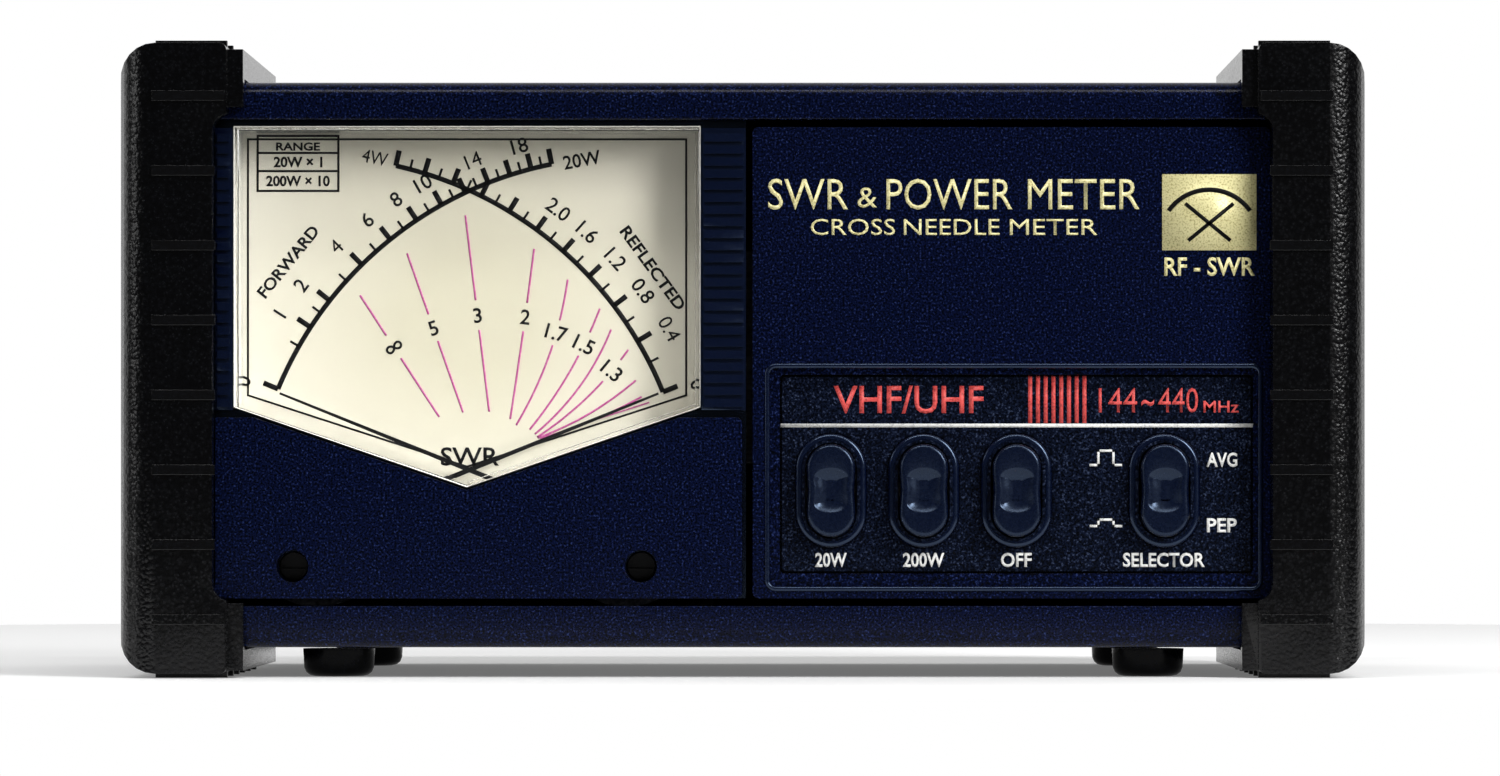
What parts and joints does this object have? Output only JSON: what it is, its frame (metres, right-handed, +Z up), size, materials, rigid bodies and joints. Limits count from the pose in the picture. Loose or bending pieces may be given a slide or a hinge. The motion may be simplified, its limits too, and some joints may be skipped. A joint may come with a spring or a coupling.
{
  "type": "cross-needle swr and power meter",
  "caption": "Bench SWR and RF power meter with a crossed-needle dial, push-button range switches, rubber end guards and two coaxial sockets at the back.",
  "frame": {"origin": "centre of the meter's footprint, on the table it stands on", "axes": "+X to the operator's right, -Y out of the front panel, +Z up"},
  "size_m": [0.165, 0.1136, 0.0845],
  "materials": {
    "moulded_abs": "fine moulded texture, very dark navy",
    "printed_plate": "satin moulded plate with printed legends",
    "clear_window": "clear moulded cover",
    "printed_dial": "cream printed sheet",
    "black_plastic": "black moulded plastic",
    "needle_black": "matt black enamel",
    "copper_winding": "enamelled copper wire",
    "magnet_alloy": "ground magnet alloy",
    "lamp_glass": "small glass bulb",
    "brass_part": "turned brass",
    "zinc_steel": "zinc plated sheet",
    "circuit_board": "green solder mask",
    "painted_steel": "black powder paint",
    "nickel_plate": "nickel plated",
    "white_insulator": "cream moulded insulator",
    "black_rubber": "grained black rubber",
    "gloss_cap": "polished dark cap",
    "spring_steel": "drawn spring wire"
  },
  "bodies": {
    "case": {"front_bezel": "moulded_abs", "control_panel": "moulded_abs", "meter_surround": "moulded_abs", "meter_cover": "moulded_abs", "control_plate": "printed_plate", "meter_window": "clear_window", "dial_plate": "printed_dial", "meter_housing": "black_plastic", "forward_magnet": "magnet_alloy", "reflected_magnet": "magnet_alloy", "dial_lamp": "lamp_glass", "lamp_holder": "brass_part", "switch_frame": "zinc_steel", "main_board": "circuit_board", "smoothing_capacitor": "black_plastic", "meter_amplifier": "black_plastic", "forward_trimmer": "black_plastic", "reflected_trimmer": "black_plastic", "top_cover": "painted_steel", "bottom_chassis": "painted_steel", "back_panel": "painted_steel", "left_chassis_screw": "nickel_plate", "right_chassis_screw": "nickel_plate", "transmitter_socket": "nickel_plate", "antenna_socket": "nickel_plate", "transmitter_socket_core": "white_insulator", "antenna_socket_core": "white_insulator", "coupler_box": "zinc_steel", "coupler_lid": "zinc_steel", "coupler_line": "brass_part", "lamp_supply_jack": "black_plastic", "front_left_foot": "black_rubber", "front_right_foot": "black_rubber", "rear_left_foot": "black_rubber", "rear_right_foot": "black_rubber", "left_guard": "black_rubber", "right_guard": "black_rubber", "range_20w_spring": "spring_steel", "range_20w_switch": "black_plastic", "range_200w_spring": "spring_steel", "range_200w_switch": "black_plastic", "power_off_spring": "spring_steel", "power_off_switch": "black_plastic", "peak_hold_spring": "spring_steel", "peak_hold_switch": "black_plastic"},
    "forward_movement": {"forward_needle": "needle_black", "forward_coil": "copper_winding"},
    "reflected_movement": {"reflected_needle": "needle_black", "reflected_coil": "copper_winding"},
    "forward_adjuster": {"forward_zero_adjuster": "black_plastic"},
    "reflected_adjuster": {"reflected_zero_adjuster": "black_plastic"},
    "latch": {"latch_bar": "zinc_steel"},
    "range_20w": {"range_20w_button": "gloss_cap", "range_20w_plunger": "white_insulator"},
    "range_200w": {"range_200w_button": "gloss_cap", "range_200w_plunger": "white_insulator"},
    "power_off": {"power_off_button": "gloss_cap", "power_off_plunger": "white_insulator"},
    "peak_hold": {"peak_hold_button": "gloss_cap", "peak_hold_plunger": "white_insulator"}
  },
  "joints": [
    {"name": "range_20w_press", "type": "slide", "parent": "case", "child": "range_20w", "axis": [0, 1, 0], "range_m": [0, 0.0028], "stiffness_N_per_m": 250, "springref_m": -0.003, "deforming": ["range_20w_spring"]},
    {"name": "range_200w_press", "type": "slide", "parent": "case", "child": "range_200w", "axis": [0, 1, 0], "range_m": [0, 0.0028], "stiffness_N_per_m": 250, "springref_m": -0.003, "deforming": ["range_200w_spring"]},
    {"name": "power_off_press", "type": "slide", "parent": "case", "child": "power_off", "axis": [0, 1, 0], "range_m": [0, 0.0028], "stiffness_N_per_m": 250, "springref_m": -0.003, "deforming": ["power_off_spring"]},
    {"name": "peak_hold_press", "type": "slide", "parent": "case", "child": "peak_hold", "axis": [0, 1, 0], "range_m": [0, 0.0028], "stiffness_N_per_m": 250, "springref_m": -0.003, "deforming": ["peak_hold_spring"]},
    {"name": "latch_slide", "type": "slide", "parent": "case", "child": "latch", "axis": [1, 0, 0], "range_m": [0, 0.0012], "stiffness_N_per_m": 200, "springref_m": -0.002},
    {"name": "forward_needle_turn", "type": "hinge", "parent": "case", "child": "forward_movement", "pos_m": [-0.0158, -0.0452, 0.0192], "axis": [0, 1, 0], "range_deg": [0, 57], "stiffness_Nm_per_rad": 0.00005, "springref_deg": -28.65},
    {"name": "forward_zero_turn", "type": "hinge", "parent": "case", "child": "forward_adjuster", "pos_m": [-0.0135, -0.0482, 0.01475], "axis": [0, 1, 0], "range_deg": [-40, 40]},
    {"name": "reflected_needle_turn", "type": "hinge", "parent": "case", "child": "reflected_movement", "pos_m": [-0.0574, -0.0452, 0.0192], "axis": [0, -1, 0], "range_deg": [0, 57], "stiffness_Nm_per_rad": 0.00005, "springref_deg": -28.65},
    {"name": "reflected_zero_turn", "type": "hinge", "parent": "case", "child": "reflected_adjuster", "pos_m": [-0.0597, -0.0482, 0.01475], "axis": [0, 1, 0], "range_deg": [-40, 40]}
  ]
}
